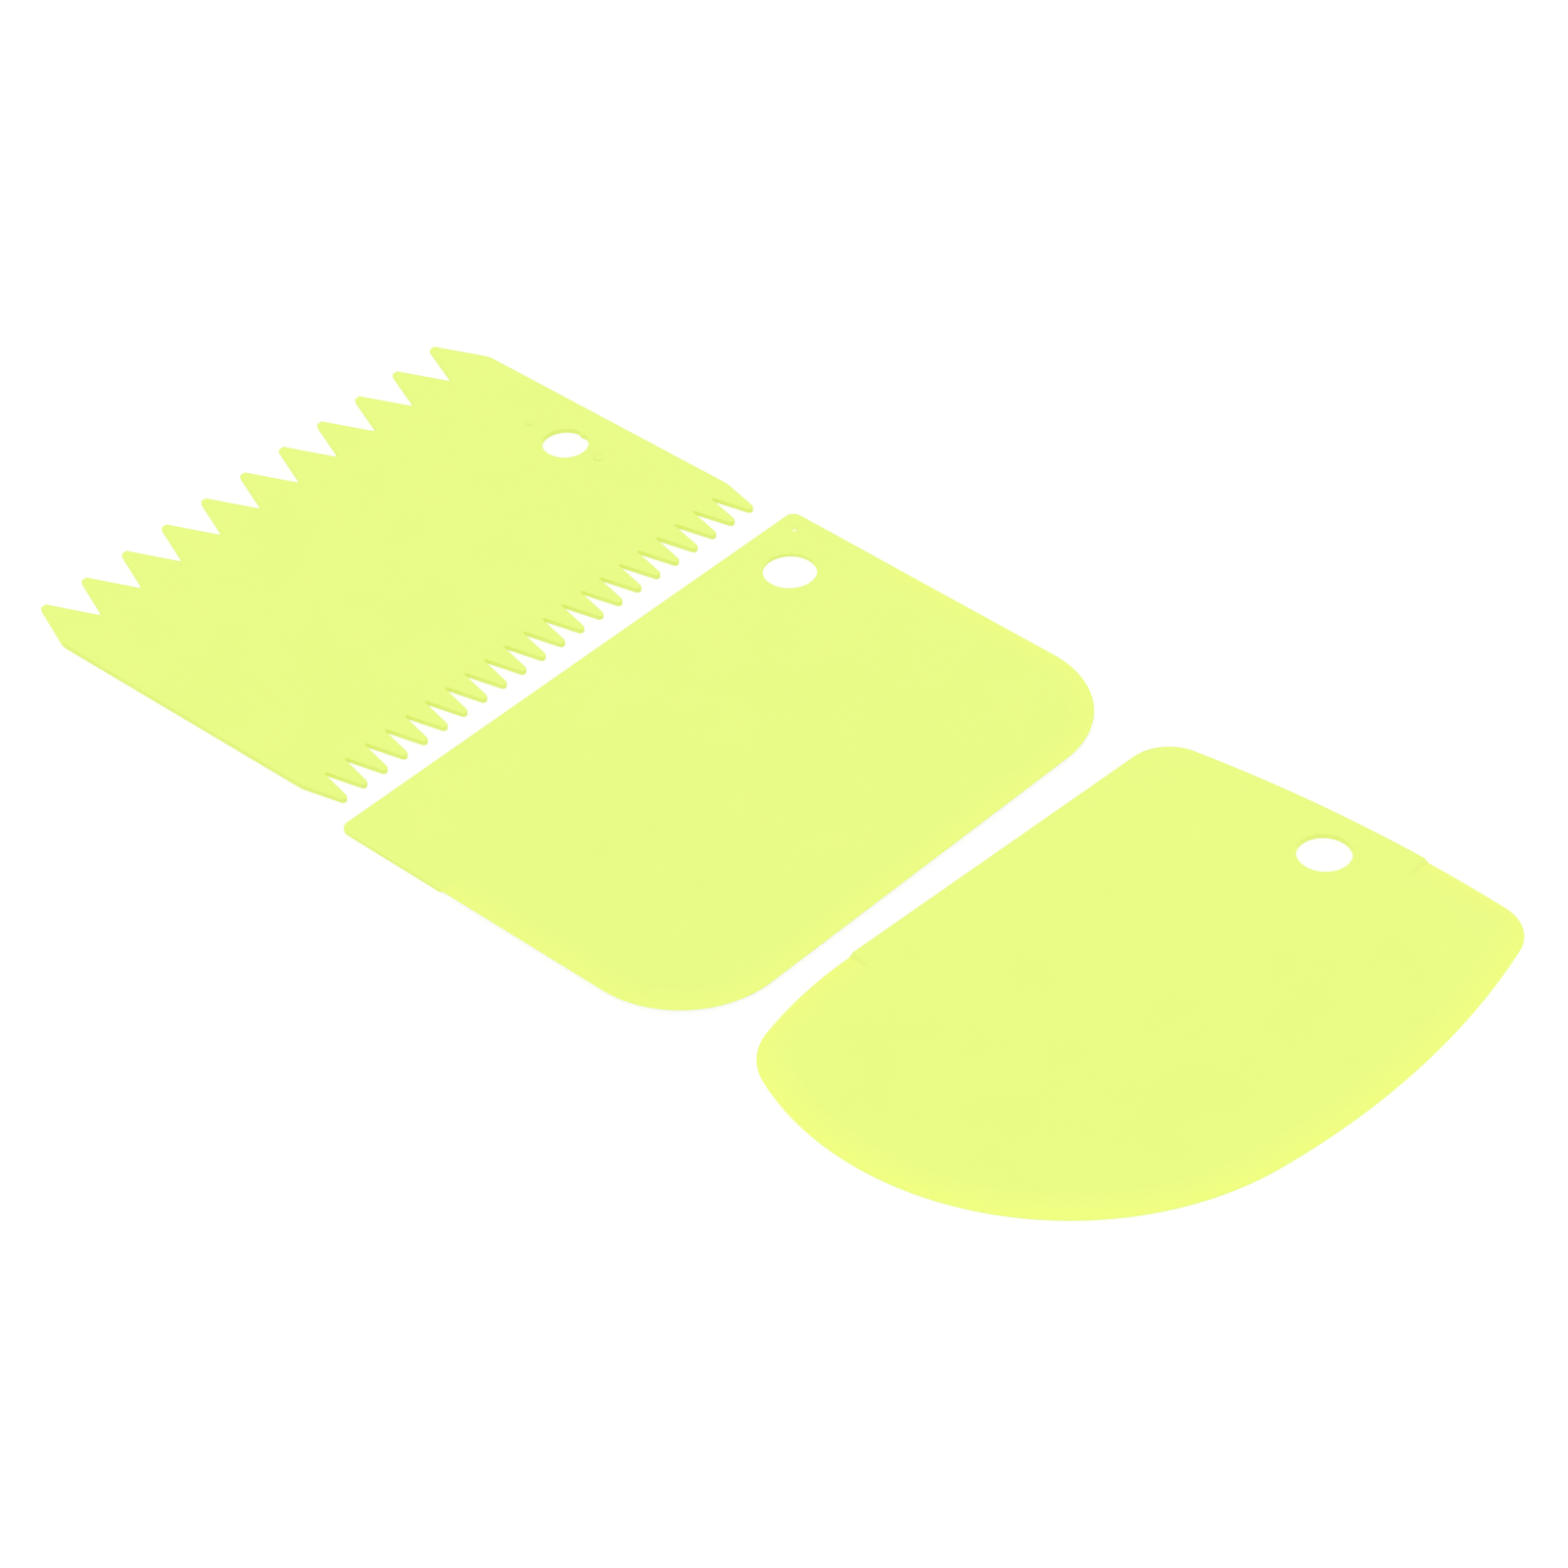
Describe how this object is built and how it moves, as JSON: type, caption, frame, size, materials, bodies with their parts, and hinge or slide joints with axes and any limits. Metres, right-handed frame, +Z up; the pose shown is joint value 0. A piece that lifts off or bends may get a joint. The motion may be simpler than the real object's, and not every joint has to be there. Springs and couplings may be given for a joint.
{
  "type": "cake scraper set",
  "caption": "Set of loose flat plastic cake scrapers: a two-sided comb with coarse and fine teeth, a straight-edged plate and a bow-edged plate, each with a hanging hole.",
  "frame": {"origin": "on the table under the middle of the row's bounding box", "axes": "+X along the row from the comb to the bow-edged plate, +Y along the plates' long sides towards the ends with the hanging holes, +Z up off the table"},
  "size_m": [0.2596, 0.1186, 0.0011],
  "materials": {
    "lime_plastic": "satin moulded lime-yellow polypropylene"
  },
  "bodies": {
    "straight": {"straight_scraper": "lime_plastic"},
    "comb": {"comb_scraper": "lime_plastic"},
    "bow": {"bow_scraper": "lime_plastic"}
  },
  "joints": [
    {"name": "comb_lift", "type": "slide", "parent": "straight", "child": "comb", "axis": [0, 0, 1], "range_m": [0, 0.06]},
    {"name": "bow_lift", "type": "slide", "parent": "straight", "child": "bow", "axis": [0, 0, 1], "range_m": [0, 0.06]}
  ]
}
